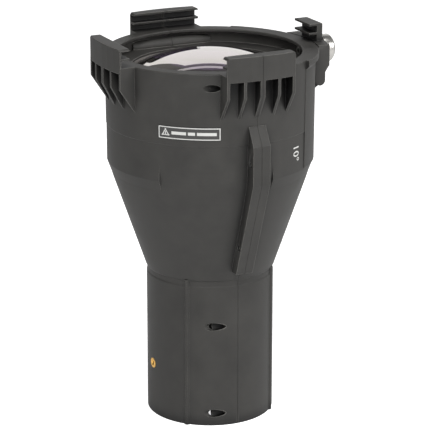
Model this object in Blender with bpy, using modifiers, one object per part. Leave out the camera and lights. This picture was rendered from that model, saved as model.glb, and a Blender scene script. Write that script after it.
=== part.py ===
"""Ten-degree lens tube of a profile spotlight: two cast half shells round one large plano-convex
lens, with three fixed colour-frame holders and a swinging gate with a thumb screw on the fourth side.

Metres, +Z up. The tube stands on its narrow rear end at Z = 0, and its optical axis points up.
The shells meet on the plane X = 0 of the "optical_axis" empty, which carries every piece.
"""

import math

import bmesh
import bpy
from mathutils import Matrix, Vector

MM = 0.001
TURN = 2 * math.pi

# Clearances
FIT = 0.3 * MM
SEAM_GAP = 0.3 * MM

# Barrel
RIM_Z = 517 * MM
RIM_R = 143.8 * MM
STEP_Z = 418 * MM
STEP_R = 142.3 * MM
STEP_RISE = 0.6 * MM
CONE_TOP_Z = 366 * MM
CONE_END_Z = 213.5 * MM
CONE_END_R = 89.6 * MM
TUBE_R = 88.6 * MM
NECK_DEPTH = 0.7 * MM
NECK_HEIGHT = 10.5 * MM
WALL = 3.4 * MM
BLEND_R = 160 * MM
BARREL_STEPS = 72

# Rim flange
OPENING_R = 126 * MM
FLANGE_T = 4 * MM
CHAMFER = 0.8 * MM
GATE_LIP_R = 149 * MM
GATE_LIP_T = 8 * MM
GATE_SIDE_RISE = 0.4 * MM
GATE_SIDE_ANGLE = math.radians(37.5)

# Lens and its silicone ring
LENS_R = 111 * MM
LENS_CURVE_R = 232 * MM
LENS_EDGE = 4 * MM
LENS_TOP_Z = 516.5 * MM
RING_T = 3.2 * MM
RING_LAP = 3 * MM
LEDGE_T = 3 * MM
LEDGE_LAP = 2 * MM

# Raised panels below the step line
LEFT_PANEL = (math.radians(54), math.radians(126))
RIGHT_PANEL = (math.radians(10.5), math.radians(169.5))

# Guide ridges along the narrow tube
RIDGE_ANGLE = math.radians(47)
RIDGE_W = 8 * MM
RIDGE_CREST_W = 3 * MM
RIDGE_RISE = 2.2 * MM

# Colour-frame holders
SLOT_HALF = 153.5 * MM
SLOT_PITCH = 12.5 * MM
LIP_T = 3 * MM
LIP_TIP = 142 * MM
HOLDER_OUT = 160 * MM
HOLDER_HALF = 50 * MM
HOLDER_BOW = 4.5 * MM
HOLDER_DROP = 8 * MM
FIN_T = 4 * MM
FIN_KINK_Z = 487 * MM
FIN_FOOT_Z = 455 * MM
FIN_AT = (-48, -25, 0, 25, 48)
MIDDLE_FIN_T = 7 * MM

# Seam ribs under the front and back holders
RIB_HALF_W = 12.5 * MM
RIB_OUT = 158 * MM
RIB_TOP_Z = 444 * MM
RIB_SHOULDER_Z = 419 * MM
RIB_END_Z = 227 * MM
RIB_END_OUT = 108 * MM

# Seam screws: seat is how far left of the seam the head rests, grip how far right the tip reaches
BELL_SCREW = dict(y=130, z=498, seat=24, tip=14, shank=2.5, head=4.25, tall=5, bore=4.9)
UPPER_TUBE_SCREW = dict(y=81.3, z=146.5, seat=12, tip=14, shank=2.5, head=4.25, tall=5, bore=5.5)
LOWER_TUBE_SCREW = dict(y=81.3, z=18.5, seat=12, tip=14, shank=2.5, head=4.25, tall=5, bore=5.5)
UPPER_RIB_SCREW = dict(y=149.5, z=393, seat=8, tip=10, shank=2, head=3.3, tall=2.6, bore=3.8)
LOWER_RIB_SCREW = dict(y=115, z=267, seat=8, tip=10, shank=2, head=3.3, tall=2.6, bore=3.8)
SCREWS = {
    "bell": BELL_SCREW,
    "rib_upper": UPPER_RIB_SCREW,
    "rib_lower": LOWER_RIB_SCREW,
    "tube_upper": UPPER_TUBE_SCREW,
    "tube_lower": LOWER_TUBE_SCREW,
}
BOSS_WALL = 3.6 * MM
SOCKET_SHARE = 0.56
SCREW_STEPS = 16

# Gate on the fourth side
GATE_HALF = 47 * MM
GATE_OUT_R = 167 * MM
GATE_T = 4 * MM
GATE_SIDE_T = 4 * MM
GATE_SKIRT_Z = 487 * MM
GATE_HEEL_Z = 479 * MM
GATE_HINGE_X = 146.5 * MM
GATE_HINGE_Z = 467.8 * MM
GATE_HEEL_R = 7.5 * MM
GATE_GAP = 1.2 * MM
BLOCK_HALF = 22 * MM
BLOCK_OUT = 162 * MM
PIN_R = 2.5 * MM
PIN_SKIN = 1.2 * MM
EAR_T = 8 * MM
EAR_R = 7 * MM

# Thumb screw of the gate
KNOB_Z = 501 * MM
KNOB_R = 19.3 * MM
KNOB_T = 17 * MM
KNOB_CHAMFER = 3.2 * MM
KNOB_RELIEF = 1.2 * MM
WASHER_R = 9 * MM
WASHER_T = 1.5 * MM
STUD_R = 3 * MM
STUD_POINT_R = 1.9 * MM
STUD_COLLAR = 1 * MM
STUD_ENGAGE = 3 * MM
CLIP_R = 6 * MM
CLIP_T = 1.2 * MM
CLIP_STANDOFF = 3.4 * MM
GROOVE_R = 2.3 * MM
BUSH_R = 5.5 * MM
BUSH_BORE_R = 3.2 * MM
BUSH_INSIDE = 2.5 * MM
BOSS_R = 9 * MM
BOSS_OUT = 156.5 * MM

# Focus-knob insert in the left side of the narrow tube
FOCUS_Z = 75 * MM
FOCUS_R = 7.2 * MM
FOCUS_BORE_R = 2.4 * MM
FOCUS_DEPTH = 9 * MM
FOCUS_PROUD = 0.4 * MM

# Warning label
LABEL_ANGLES = (math.radians(20), math.radians(54))
LABEL_Z = (427.5 * MM, 444.5 * MM)
LABEL_T = 0.3 * MM

# The thumb screw reaches further out than the left holder, so the axis is set back to centre the box
KNOB_IN = GATE_OUT_R + FIT + WASHER_T + FIT
AXIS_X = -(KNOB_IN + KNOB_T - HOLDER_OUT) / 2

CONE_SLOPE = (STEP_R - CONE_END_R) / (CONE_TOP_Z - CONE_END_Z)


for old in list(bpy.data.objects):
    bpy.data.objects.remove(old)

parts = bpy.data.collections.new("ten_degree_lens_tube")
cutters = bpy.data.collections.new("cutters")
for group in (parts, cutters):
    bpy.context.scene.collection.children.link(group)
cutters.hide_render = True

axis = bpy.data.objects.new("optical_axis", None)
axis.location = (AXIS_X, 0, 0)
parts.objects.link(axis)


def finish(name, colour, roughness, metallic=0.0, transmission=0.0):
    material = bpy.data.materials.new(name)
    material.use_nodes = True
    shader = material.node_tree.nodes["Principled BSDF"]
    shader.inputs["Base Color"].default_value = (*colour, 1)
    shader.inputs["Roughness"].default_value = roughness
    shader.inputs["Metallic"].default_value = metallic
    shader.inputs["Transmission Weight"].default_value = transmission
    return material


POWDER_COAT = finish("black_powder_coat", (0.055, 0.054, 0.052), 0.6)
GLASS = finish("optical_glass", (0.95, 0.96, 0.98), 0.02, transmission=1.0)
SILICONE = finish("clear_silicone", (0.25, 0.25, 0.25), 0.5)
TURNED = finish("turned_aluminium", (0.62, 0.61, 0.6), 0.3, 1.0)
STEEL = finish("zinc_plated_steel", (0.5, 0.5, 0.5), 0.35, 1.0)
BRASS = finish("brass", (0.6, 0.38, 0.12), 0.3, 1.0)
BLACK_STEEL = finish("black_oxide_steel", (0.03, 0.03, 0.03), 0.4, 1.0)
FILM = finish("label_film", (0.05, 0.05, 0.05), 0.4)


# ---------------------------------------------------------------- building blocks


def add_object(name, mesh, material=None, turn=None):
    """A part when it has a material, otherwise a cutter or an addition to a part."""
    obj = bpy.data.objects.new(name, mesh)
    if material:
        mesh.materials.append(material)
        parts.objects.link(obj)
    else:
        cutters.objects.link(obj)
        obj.hide_render = True
        obj.display_type = "WIRE"
    obj.parent = axis
    if turn:
        obj.matrix_local = turn
    return obj


def turned(name, profile, steps, material=None, turn=None):
    """A solid of revolution about Z: the profile runs down the outside and back up the inside."""
    mesh = bpy.data.meshes.new(name)
    count = len(profile)
    closed = profile[0][0] > 0 or profile[-1][0] > 0
    edges = [(i, i + 1) for i in range(count - 1)] + ([(count - 1, 0)] if closed else [])
    mesh.from_pydata([(r, 0, z) for r, z in profile], edges, [])
    obj = add_object(name, mesh, material, turn)
    screw = obj.modifiers.new("Turn", "SCREW")
    screw.steps = screw.render_steps = steps
    screw.use_merge_vertices = True
    screw.merge_threshold = 0.00001
    screw.use_smooth_shade = True
    return obj


def prism(name, outline, start, end, along="Z", material=None, turn=None):
    """A flat outline pushed from start to end. Along Z it lies in XY, along X in YZ, along Y in XZ."""
    frames = {
        "Z": lambda a, b, h: (a, b, h),
        "X": lambda a, b, h: (h, a, b),
        "Y": lambda a, b, h: (a, h, b),
    }
    place = frames[along]
    mesh = bpy.data.meshes.new(name)
    bm = bmesh.new()
    face = bm.faces.new([bm.verts.new(place(a, b, start)) for a, b in outline])
    pushed = bmesh.ops.extrude_face_region(bm, geom=[face])
    moved = [v for v in pushed["geom"] if isinstance(v, bmesh.types.BMVert)]
    shift = Vector(place(0, 0, end)) - Vector(place(0, 0, start))
    bmesh.ops.translate(bm, verts=moved, vec=shift)
    bmesh.ops.recalc_face_normals(bm, faces=bm.faces)
    bm.to_mesh(mesh)
    bm.free()
    return add_object(name, mesh, material, turn)


def rod(name, radius, start, end, along_x=True, steps=SCREW_STEPS, at=(0, 0), turn=None):
    """A plain round bar along X at (y, z), or along Y at (x, z)."""
    mesh = bpy.data.meshes.new(name)
    bm = bmesh.new()
    bmesh.ops.create_cone(
        bm, cap_ends=True, segments=steps, radius1=radius, radius2=radius, depth=end - start
    )
    middle = (start + end) / 2
    if along_x:
        lie = Matrix.Translation((middle, *at)) @ Matrix.Rotation(TURN / 4, 4, "Y")
    else:
        lie = Matrix.Translation((at[0], middle, at[1])) @ Matrix.Rotation(TURN / 4, 4, "X")
    bmesh.ops.transform(bm, matrix=lie, verts=bm.verts)
    bm.to_mesh(mesh)
    bm.free()
    return add_object(name, mesh, None, turn)


def arc(radius, start, end, points):
    """Points of a circle about the axis, angles measured from -Y towards +X."""
    step = (end - start) / (points - 1)
    return [
        (radius * math.sin(start + i * step), -radius * math.cos(start + i * step))
        for i in range(points)
    ]


def combine(obj, others, operation):
    for other in others:
        boolean = obj.modifiers.new(other.name, "BOOLEAN")
        boolean.operation = operation
        boolean.solver = "EXACT"
        boolean.object = other
    return obj


# ---------------------------------------------------------------- lens seat


def lens_z(radius):
    """Height of the domed face at this distance from the axis."""
    return LENS_TOP_Z - LENS_CURVE_R + math.sqrt(LENS_CURVE_R**2 - radius**2)


LENS_BACK_Z = lens_z(LENS_R) - LENS_EDGE
RING_IN = LENS_R - RING_LAP
RING_OUT = LENS_R + FIT + RING_T
RING_TOP = lens_z(RING_IN) + FIT + RING_T - 1 * MM
RING_BOTTOM = LENS_BACK_Z - FIT - RING_T + 1 * MM
SEAT_R = RING_OUT + FIT
SEAT_TOP = RING_TOP + FIT
SEAT_BOTTOM = RING_BOTTOM - FIT
LEDGE_IN = RING_IN - LEDGE_LAP


def front_lens():
    rings = 10
    dome = [LENS_R * i / rings for i in range(rings + 1)]
    profile = [(r, lens_z(r)) for r in dome]
    profile += [(LENS_R, LENS_BACK_Z), (0, LENS_BACK_Z)]
    return turned("front_lens", profile, 48, GLASS)


def lens_ring():
    groove_r = LENS_R + FIT
    profile = [
        (RING_OUT, RING_TOP),
        (RING_OUT, RING_BOTTOM),
        (RING_IN, RING_BOTTOM),
        (RING_IN, LENS_BACK_Z - FIT),
        (groove_r, LENS_BACK_Z - FIT),
        (groove_r, lens_z(LENS_R) + FIT),
        (RING_IN, lens_z(RING_IN) + FIT),
        (RING_IN, RING_TOP),
    ]
    return turned("lens_gasket", profile, 48, SILICONE)


# ---------------------------------------------------------------- shells


def cone_r(z):
    return CONE_END_R + CONE_SLOPE * (z - CONE_END_Z)


def bell_blend(points=6):
    """The soft turn from the bell into the cone, tangent to both."""
    slant = math.atan(CONE_SLOPE)
    top = CONE_TOP_Z + BLEND_R * math.tan(slant / 2)
    return [
        (
            STEP_R - BLEND_R * (1 - math.cos(slant * i / points)),
            top - BLEND_R * math.sin(slant * i / points),
        )
        for i in range(points + 1)
    ]


def barrel_profile():
    inner = TUBE_R - WALL
    bell_in = STEP_R - WALL
    slant = math.atan(CONE_SLOPE)
    wall_across = WALL / math.cos(slant)
    blend_inside_z = CONE_TOP_Z - BLEND_R * math.tan(slant / 2)
    outside = [
        (RIM_R - CHAMFER, RIM_Z),
        (RIM_R, RIM_Z - CHAMFER),
        (STEP_R + STEP_RISE, STEP_Z + STEP_RISE),
        (STEP_R, STEP_Z),
        *bell_blend(),
        (CONE_END_R, CONE_END_Z),
        (TUBE_R - NECK_DEPTH, CONE_END_Z - 2 * MM),
        (TUBE_R - NECK_DEPTH, CONE_END_Z - NECK_HEIGHT + 2 * MM),
        (TUBE_R, CONE_END_Z - NECK_HEIGHT),
        (TUBE_R, CHAMFER),
        (TUBE_R - CHAMFER, 0),
    ]
    inside = [
        (inner, 0),
        (inner, CONE_END_Z - (CONE_END_R - wall_across - inner) / CONE_SLOPE),
        (cone_r(blend_inside_z) - wall_across, blend_inside_z),
        (bell_in - 3 * MM, CONE_TOP_Z + 15 * MM),
        (bell_in, STEP_Z + 10 * MM),
        (bell_in, SEAT_TOP),
        (SEAT_R + LEDGE_T, SEAT_TOP),
        (SEAT_R + LEDGE_T, SEAT_BOTTOM - LEDGE_T),
        (LEDGE_IN, SEAT_BOTTOM - LEDGE_T),
        (LEDGE_IN, SEAT_BOTTOM),
        (SEAT_R, SEAT_BOTTOM),
        (SEAT_R, SEAT_TOP),
        (RING_IN, SEAT_TOP),
        (RING_IN, SEAT_TOP + LEDGE_T),
        (bell_in, SEAT_TOP + LEDGE_T),
        (bell_in, RIM_Z - FLANGE_T),
        (OPENING_R, RIM_Z - FLANGE_T),
        (OPENING_R, RIM_Z - CHAMFER),
        (OPENING_R + CHAMFER, RIM_Z),
    ]
    return outside + inside


def panel(name, angles, side):
    """A sector where the bell wall stays upright down to the cone and meets it in a crisp edge."""
    start, end = sorted(side * a for a in angles)
    depth = 2 * MM
    reach = BLEND_R * math.tan(math.atan(CONE_SLOPE) / 2)
    outline = [
        (STEP_R - 0.05 * MM, CONE_TOP_Z + reach - 2 * MM),
        (STEP_R - 0.05 * MM, CONE_TOP_Z),
        (cone_r(CONE_TOP_Z - reach) - 0.05 * MM, CONE_TOP_Z - reach + 2 * MM),
        (cone_r(CONE_TOP_Z - reach) - depth, CONE_TOP_Z - reach + 2 * MM),
        (STEP_R - 3 * depth, CONE_TOP_Z),
        (STEP_R - depth, CONE_TOP_Z + reach - 2 * MM),
    ]
    return sector(name, outline, start, end)


def sector(name, outline, start, end):
    """Part of a turned solid: the outline in (radius, height) swept between two angles from -Y."""
    steps = max(4, round((end - start) / TURN * BARREL_STEPS))
    mesh = bpy.data.meshes.new(name)
    bm = bmesh.new()
    facing = [(r * math.sin(start), -r * math.cos(start), z) for r, z in outline]
    face = bm.faces.new([bm.verts.new(place) for place in facing])
    first = [face]
    bmesh.ops.spin(
        bm,
        geom=first + list(face.edges) + list(face.verts),
        cent=(0, 0, 0),
        axis=(0, 0, 1),
        angle=end - start,
        steps=steps,
        use_merge=False,
    )
    bmesh.ops.recalc_face_normals(bm, faces=bm.faces)
    bm.to_mesh(mesh)
    bm.free()
    return add_object(name, mesh)


def side_turn(degrees):
    return Matrix.Rotation(math.radians(degrees), 4, "Z")


def bowed(half, out, bow, inner, points=7):
    """Plan of a holder wall facing -Y: bowed outside, straight inside at y = -inner."""
    outer = []
    for i in range(points):
        share = 2 * i / (points - 1) - 1
        outer.append((share * half, -out + bow * share**2))
    return outer + [(half, -inner), (-half, -inner)]


def holder(name, degrees):
    """Wall, two lips, shelf and fins of one colour-frame holder, modelled facing -Y."""
    turn = side_turn(degrees)
    shelf_in = math.sqrt(RIM_R**2 - HOLDER_HALF**2) - 3 * MM
    top = RIM_Z + 2 * SLOT_PITCH
    low = RIM_Z - HOLDER_DROP
    pieces = [
        prism(f"{name}_wall", bowed(HOLDER_HALF, HOLDER_OUT, HOLDER_BOW, SLOT_HALF), low, top, turn=turn),
        prism(
            f"{name}_shelf",
            bowed(HOLDER_HALF, HOLDER_OUT - 1 * MM, HOLDER_BOW, shelf_in),
            low + 1 * MM,
            RIM_Z,
            turn=turn,
        ),
    ]
    for i in (1, 2):
        lip_top = RIM_Z + i * SLOT_PITCH
        plan = bowed(HOLDER_HALF, HOLDER_OUT - 1 * MM, HOLDER_BOW, LIP_TIP)
        pieces.append(prism(f"{name}_lip_{i}", plan, lip_top - LIP_T, lip_top, turn=turn))
    for i, x in enumerate(FIN_AT):
        thick = FIN_T if x else MIDDLE_FIN_T
        bow = HOLDER_BOW * (x * MM / HOLDER_HALF) ** 2
        out = HOLDER_OUT - bow - 0.2 * MM
        foot = math.sqrt(STEP_R**2 - (x * MM) ** 2)
        outline = [
            (-out, low + 4 * MM),
            (-out, FIN_KINK_Z),
            (-foot - 0.5 * MM, FIN_FOOT_Z),
            (-foot + 1.5 * MM, FIN_FOOT_Z - 3 * MM),
            (-foot + 1.5 * MM, low + 4 * MM),
        ]
        pieces.append(
            prism(f"{name}_fin_{i}", outline, x * MM - thick / 2, x * MM + thick / 2, "X", turn=turn)
        )
    return pieces


def seam_rib(name, degrees):
    """The bolting flange that runs down the seam from under the holder to the neck."""
    outline = [
        (-RIB_OUT, RIB_SHOULDER_Z),
        (-RIB_OUT, CONE_TOP_Z),
        (-RIB_END_OUT, RIB_END_Z),
        (-cone_r(RIB_END_Z) + 1.5 * MM, RIB_END_Z),
        (-STEP_R + 4 * MM, CONE_TOP_Z + 4 * MM),
        (-STEP_R + 2 * MM, RIB_TOP_Z - 4 * MM),
        (-RIM_R + 0.4 * MM, RIB_TOP_Z),
    ]
    return prism(name, outline, -RIB_HALF_W, RIB_HALF_W, "X", turn=side_turn(degrees))


def ridge(name, angle):
    outline = [
        (-RIDGE_W / 2, -TUBE_R + 1 * MM),
        (-RIDGE_W / 2, -TUBE_R + 0.2 * MM),
        (-RIDGE_CREST_W / 2, -TUBE_R - RIDGE_RISE),
        (RIDGE_CREST_W / 2, -TUBE_R - RIDGE_RISE),
        (RIDGE_W / 2, -TUBE_R + 0.2 * MM),
        (RIDGE_W / 2, -TUBE_R + 1 * MM),
    ]
    return prism(name, outline, 0, CONE_END_Z - 0.5 * MM, turn=side_turn(math.degrees(angle)))


def screw_at(key, face):
    """Centre line and sizes of one seam screw in metres; face is -1 for the front, +1 for the back."""
    size = {k: v * MM for k, v in SCREWS[key].items()}
    size["at"] = (face * size["y"], size["z"])
    return size


def screw_bosses(face, tag):
    """Solid round the bell and tube screws, trimmed to stay inside the outer wall."""
    bosses = []
    for key, limit_r in (("bell", RIM_R), ("tube_upper", TUBE_R), ("tube_lower", TUBE_R)):
        s = screw_at(key, face)
        radius = s["bore"] + BOSS_WALL
        start = -s["seat"] - 22 * MM if key != "bell" else -60 * MM
        end = s["tip"] + 3 * MM if key != "bell" else 60 * MM
        boss = rod(f"boss_{key}_{tag}", radius, start, end, at=s["at"], steps=20)
        keep = prism(
            f"boss_limit_{key}_{tag}",
            arc(limit_r - 1.6 * MM, 0, TURN * (1 - 1 / BARREL_STEPS), BARREL_STEPS),
            s["z"] - 2 * radius,
            s["z"] + 2 * radius,
        )
        bosses.append(combine(boss, [keep], "INTERSECT"))
    return bosses


def screw_holes(face, tag, left):
    """Counterbore and clearance hole on the left, blind threaded hole on the right."""
    holes = []
    for key in SCREWS:
        s = screw_at(key, face)
        shank_r = s["shank"] + FIT
        if left:
            seat_x = -s["seat"] + FIT
            holes.append(rod(f"bore_{key}_{tag}", s["bore"], -200 * MM, seat_x, at=s["at"], steps=20))
            holes.append(rod(f"pass_{key}_{tag}", shank_r, -s["seat"] - 2 * MM, 5 * MM, at=s["at"]))
        else:
            holes.append(rod(f"tap_{key}_{tag}", shank_r, -5 * MM, s["tip"] + 1 * MM, at=s["at"]))
    return holes


def seam_screw(key, face, tag):
    """Socket cap screw lying along X, head to the left."""
    s = screw_at(key, face)
    profile = [
        (0, s["tall"]),
        (s["head"] - 0.4 * MM, s["tall"]),
        (s["head"], s["tall"] - 0.4 * MM),
        (s["head"], 0),
        (s["shank"], 0),
        (s["shank"], -s["seat"] - s["tip"] + 0.8 * MM),
        (s["shank"] - 0.8 * MM, -s["seat"] - s["tip"]),
        (0, -s["seat"] - s["tip"]),
    ]
    lie = Matrix.Translation((-s["seat"], *s["at"])) @ Matrix.Rotation(-TURN / 4, 4, "Y")
    screw = turned(f"seam_screw_{tag}_{key}", profile, SCREW_STEPS, BLACK_STEEL, lie)
    flats = s["head"] * SOCKET_SHARE
    drive = [(flats * math.cos(TURN * i / 6), flats * math.sin(TURN * i / 6)) for i in range(6)]
    socket = prism(f"socket_{tag}_{key}", drive, s["tall"] * 0.45, s["tall"] * 1.5, turn=lie)
    return combine(screw, [socket], "DIFFERENCE")


def half_space(name, side):
    """Everything on one side of the seam plane, kept clear of it by half the seam gap."""
    far = 300 * MM
    near = SEAM_GAP / 2
    x0, x1 = sorted((side * near, side * far))
    outline = [(x0, -far), (x1, -far), (x1, far), (x0, far)]
    return prism(name, outline, -50 * MM, 700 * MM)


def shell(name, side, additions, cuts):
    body = turned(name, barrel_profile(), BARREL_STEPS, POWDER_COAT)
    combine(body, additions, "UNION")
    combine(body, cuts, "DIFFERENCE")
    return combine(body, [half_space(f"{name}_side", side)], "INTERSECT")


# ---------------------------------------------------------------- gate side of the right shell


def gate_side_additions():
    lip = (GATE_SIDE_ANGLE, math.pi - GATE_SIDE_ANGLE)
    outline = [
        (GATE_LIP_R - CHAMFER, RIM_Z),
        (GATE_LIP_R, RIM_Z - CHAMFER),
        (GATE_LIP_R, RIM_Z - GATE_LIP_T),
        (RIM_R + GATE_SIDE_RISE, RIM_Z - GATE_LIP_T - 5 * MM),
        (STEP_R + STEP_RISE + GATE_SIDE_RISE, CONE_TOP_Z + 1 * MM),
        (STEP_R - 2 * MM, CONE_TOP_Z + 1 * MM),
        (STEP_R - 2 * MM, RIM_Z - 1 * MM),
        (STEP_R - 1 * MM, RIM_Z),
    ]
    made = [sector("gate_side_skin", outline, *lip)]
    wall_x = STEP_R - WALL
    made.append(
        rod("bush_boss", BOSS_R, wall_x + 1 * MM, BOSS_OUT, at=(0, KNOB_Z), steps=24)
    )
    for face in (-1, 1):
        outer = GATE_HALF - GATE_SIDE_T - FIT
        start, end = sorted((face * outer, face * (outer - EAR_T)))
        ear = [
            (GATE_HINGE_X + EAR_R * math.sin(a), GATE_HINGE_Z + EAR_R * math.cos(a))
            for a in [TURN / 2 * i / 8 for i in range(9)]
        ]
        root = STEP_R - WALL + 1 * MM
        inner_x = math.sqrt(root**2 - (outer - EAR_T) ** 2) - 1 * MM
        ear += [(inner_x, GATE_HINGE_Z - EAR_R - 8 * MM), (inner_x, GATE_HINGE_Z + EAR_R)]
        made.append(prism(f"ear_{face}", ear, start, end, "Y"))
    return made


def gate_side_cuts():
    cuts = [rod("bush_hole", BUSH_R + FIT, 100 * MM, BOSS_OUT + 5 * MM, at=(0, KNOB_Z), steps=24)]
    for face in (-1, 1):
        outer = GATE_HALF - GATE_SIDE_T
        start, end = sorted((face * (outer + 2 * MM), face * (outer - EAR_T + 1.5 * MM)))
        cuts.append(
            rod(f"pin_hole_{face}", PIN_R + FIT, start, end, False, at=(GATE_HINGE_X, GATE_HINGE_Z))
        )
    return cuts


def gate():
    """U-shaped cast gate: bowed front, top web, side cheeks and the slotted block for the frames."""
    half_angle = math.asin(GATE_HALF / GATE_OUT_R)
    face_angle = TURN / 4
    outer = arc(GATE_OUT_R, face_angle - half_angle, face_angle + half_angle, 9)
    inner = arc(GATE_OUT_R - GATE_T, face_angle + half_angle, face_angle - half_angle, 9)
    inner = [(x, max(-GATE_HALF, min(GATE_HALF, y))) for x, y in inner]
    body = prism("latch_gate", outer + inner, GATE_SKIRT_Z, RIM_Z, material=POWDER_COAT)

    web_in_r = GATE_LIP_R + GATE_GAP
    web_half = math.asin((GATE_HALF - 0.5 * MM) / web_in_r)
    web_inner = arc(web_in_r, face_angle + web_half, face_angle - web_half, 9)
    web_outer = arc(
        GATE_OUT_R - 1 * MM,
        face_angle - math.asin((GATE_HALF - 0.5 * MM) / (GATE_OUT_R - 1 * MM)),
        face_angle + math.asin((GATE_HALF - 0.5 * MM) / (GATE_OUT_R - 1 * MM)),
        9,
    )
    web = prism("gate_web", web_outer + web_inner, RIM_Z - FLANGE_T, RIM_Z)

    side_out = math.sqrt(GATE_OUT_R**2 - GATE_HALF**2) - 0.3 * MM
    side_in = math.sqrt(web_in_r**2 - GATE_HALF**2) + 0.4 * MM
    heel_out = GATE_HINGE_X + GATE_HEEL_R
    heel = [
        (GATE_HINGE_X + GATE_HEEL_R * math.cos(a), GATE_HINGE_Z - GATE_HEEL_R * math.sin(a))
        for a in [TURN / 2 * i / 10 for i in range(11)]
    ]
    # Below the rim lip the cheeks reach in to the bell, as near as the swing allows.
    side_near = math.sqrt((RIM_R + GATE_SIDE_RISE) ** 2 - (GATE_HALF - GATE_SIDE_T) ** 2) + 0.6 * MM
    lip_under = RIM_Z - GATE_LIP_T - 5 * MM
    cheek = [(side_in, RIM_Z - 0.5 * MM), (side_out, RIM_Z - 0.5 * MM), (side_out, GATE_SKIRT_Z + 1 * MM)]
    cheek += [(heel_out, GATE_HEEL_Z)] + heel
    cheek += [(side_near, lip_under - 3 * MM), (side_in, lip_under + 4 * MM)]
    cheek_in = GATE_HALF - GATE_SIDE_T
    cheeks = [
        prism(f"gate_cheek_{face}", cheek, *sorted((face * GATE_HALF, face * cheek_in)), "Y")
        for face in (-1, 1)
    ]

    top = RIM_Z + 2 * SLOT_PITCH
    block = [
        (BLOCK_OUT, RIM_Z - 1 * MM),
        (BLOCK_OUT, top - CHAMFER),
        (BLOCK_OUT - CHAMFER, top),
        (LIP_TIP, top),
        (LIP_TIP, top - LIP_T),
        (SLOT_HALF, top - LIP_T),
        (SLOT_HALF, top - SLOT_PITCH),
        (LIP_TIP, top - SLOT_PITCH),
        (LIP_TIP, top - SLOT_PITCH - LIP_T),
        (SLOT_HALF, top - SLOT_PITCH - LIP_T),
        (SLOT_HALF, RIM_Z - 1 * MM),
    ]
    stop = prism("gate_block", block, -BLOCK_HALF, BLOCK_HALF, "Y")
    combine(body, [web, *cheeks, stop], "UNION")
    stud_hole = rod(
        "gate_stud_hole", STUD_R + 2 * FIT, 120 * MM, 200 * MM, at=(0, KNOB_Z), steps=20
    )
    pin_holes = []
    for face in (-1, 1):
        start, end = sorted((face * (GATE_HALF - GATE_SIDE_T - 1 * MM), face * (GATE_HALF - PIN_SKIN)))
        pin_holes.append(
            rod(f"gate_pin_hole_{face}", PIN_R + FIT, start, end, False, at=(GATE_HINGE_X, GATE_HINGE_Z))
        )
    combine(body, [stud_hole, *pin_holes], "DIFFERENCE")
    # The gate turns on the line through its two pivot pins, so its origin goes there.
    hinge = Vector((GATE_HINGE_X, 0, GATE_HINGE_Z))
    body.data.transform(Matrix.Translation(-hinge))
    body.location = hinge
    return body


def pivot_pin(name, face):
    length_in = GATE_HALF - GATE_SIDE_T - EAR_T + 1.5 * MM + FIT
    length_out = GATE_HALF - PIN_SKIN - FIT
    profile = [(0, length_out), (PIN_R, length_out), (PIN_R, length_in), (0, length_in)]
    lie = Matrix.Translation((GATE_HINGE_X, 0, GATE_HINGE_Z)) @ Matrix.Rotation(-face * TURN / 4, 4, "X")
    return turned(name, profile, SCREW_STEPS, STEEL, lie)


def along_knob(x):
    """Stands a turned piece's Z along +X, with its zero at x on the thumb screw's line."""
    return Matrix.Translation((x, 0, KNOB_Z)) @ Matrix.Rotation(TURN / 4, 4, "Y")


def thumb_screw():
    knob_bore = STUD_R + FIT
    knob_profile = [
        (KNOB_R - KNOB_CHAMFER, KNOB_T),
        (KNOB_R, KNOB_T - KNOB_CHAMFER),
        (KNOB_R, KNOB_RELIEF),
        (KNOB_R - KNOB_RELIEF, 0),
        (knob_bore, 0),
        (knob_bore, KNOB_T - 4 * MM),
        (0, KNOB_T - 4 * MM),
        (0, KNOB_T),
    ]
    turned("thumb_knob", knob_profile, 40, TURNED, along_knob(KNOB_IN))

    washer_bore = STUD_R + FIT
    washer_profile = [
        (WASHER_R, WASHER_T),
        (WASHER_R, 0),
        (washer_bore, 0),
        (washer_bore, WASHER_T),
    ]
    turned("knob_washer", washer_profile, 24, STEEL, along_knob(GATE_OUT_R + FIT))

    stud_end = KNOB_IN + KNOB_T - 4 * MM - FIT
    stud_tip = BOSS_OUT - STUD_ENGAGE
    clip_x = GATE_OUT_R - GATE_T - CLIP_STANDOFF - CLIP_T
    groove_half = FIT
    stud_profile = [
        (0, stud_end),
        (STUD_R, stud_end),
        (STUD_R, clip_x + CLIP_T + groove_half),
        (GROOVE_R, clip_x + CLIP_T + groove_half),
        (GROOVE_R, clip_x - groove_half),
        (STUD_R, clip_x - groove_half),
        (STUD_R, clip_x - groove_half - STUD_COLLAR),
        (STUD_POINT_R, clip_x - groove_half - STUD_COLLAR - 0.6 * MM),
        (STUD_POINT_R, stud_tip),
        (0, stud_tip),
    ]
    turned("thumb_screw_stud", stud_profile, 20, STEEL, along_knob(0))

    clip_profile = [(CLIP_R, CLIP_T), (CLIP_R, 0), (GROOVE_R + FIT, 0), (GROOVE_R + FIT, CLIP_T)]
    clip = turned("stud_clip", clip_profile, 20, STEEL, along_knob(clip_x))
    mouth = [(-GROOVE_R, 0), (GROOVE_R, 0), (GROOVE_R, 2 * CLIP_R), (-GROOVE_R, 2 * CLIP_R)]
    gap = prism("clip_mouth", mouth, -CLIP_T, 2 * CLIP_T, turn=along_knob(clip_x))
    combine(clip, [gap], "DIFFERENCE")

    inside = STEP_R - WALL - BUSH_INSIDE
    bush_profile = [
        (BUSH_R, BOSS_OUT - inside),
        (BUSH_R, 0),
        (BUSH_BORE_R, 0),
        (BUSH_BORE_R, BOSS_OUT - inside),
    ]
    turned("gate_bush", bush_profile, 20, STEEL, along_knob(inside))


# ---------------------------------------------------------------- left side details


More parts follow.
